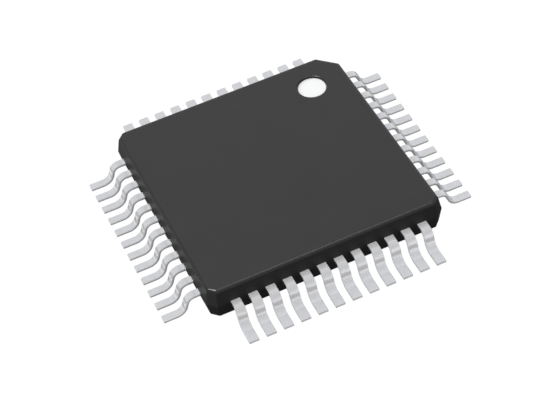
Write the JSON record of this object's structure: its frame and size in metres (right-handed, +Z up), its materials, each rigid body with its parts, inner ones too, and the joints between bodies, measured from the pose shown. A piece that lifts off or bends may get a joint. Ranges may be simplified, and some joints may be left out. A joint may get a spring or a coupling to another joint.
{
  "type": "quad flat pack chip",
  "caption": "Thin moulded square chip package with gull-wing leads on all four sides, a chamfered pin 1 corner and a white pin 1 dot.",
  "frame": {"origin": "middle of the package on the plane the lead feet stand on", "axes": "+Z up out of the marked top; the pin 1 corner is at -X, +Y; leads 1 to 12 on the -X side, 13 to 24 on -Y, 25 to 36 on +X, 37 to 48 on +Y"},
  "size_m": [0.0092, 0.0092, 0.001],
  "materials": {
    "mould_compound": "fine matte moulded epoxy, near black",
    "tin_plating": "satin tin plating on copper alloy",
    "white_ink": "matte white marking ink",
    "leadframe_copper": "bare copper alloy",
    "silver_epoxy": "silver filled epoxy",
    "silicon": "polished silicon",
    "gold_wire": "gold"
  },
  "bodies": {
    "root": {"mould_body": "mould_compound", "lead_01": "tin_plating", "lead_02": "tin_plating", "lead_03": "tin_plating", "lead_04": "tin_plating", "lead_05": "tin_plating", "lead_06": "tin_plating", "lead_07": "tin_plating", "lead_08": "tin_plating", "lead_09": "tin_plating", "lead_10": "tin_plating", "lead_11": "tin_plating", "lead_12": "tin_plating", "lead_13": "tin_plating", "lead_14": "tin_plating", "lead_15": "tin_plating", "lead_16": "tin_plating", "lead_17": "tin_plating", "lead_18": "tin_plating", "lead_19": "tin_plating", "lead_20": "tin_plating", "lead_21": "tin_plating", "lead_22": "tin_plating", "lead_23": "tin_plating", "lead_24": "tin_plating", "lead_25": "tin_plating", "lead_26": "tin_plating", "lead_27": "tin_plating", "lead_28": "tin_plating", "lead_29": "tin_plating", "lead_30": "tin_plating", "lead_31": "tin_plating", "lead_32": "tin_plating", "lead_33": "tin_plating", "lead_34": "tin_plating", "lead_35": "tin_plating", "lead_36": "tin_plating", "lead_37": "tin_plating", "lead_38": "tin_plating", "lead_39": "tin_plating", "lead_40": "tin_plating", "lead_41": "tin_plating", "lead_42": "tin_plating", "lead_43": "tin_plating", "lead_44": "tin_plating", "lead_45": "tin_plating", "lead_46": "tin_plating", "lead_47": "tin_plating", "lead_48": "tin_plating", "pin_1_ink_dot": "white_ink", "die_paddle": "leadframe_copper", "die_attach": "silver_epoxy", "silicon_die": "silicon", "bond_wires_1_to_12": "gold_wire", "bond_wires_13_to_24": "gold_wire", "bond_wires_25_to_36": "gold_wire", "bond_wires_37_to_48": "gold_wire"}
  },
  "joints": []
}
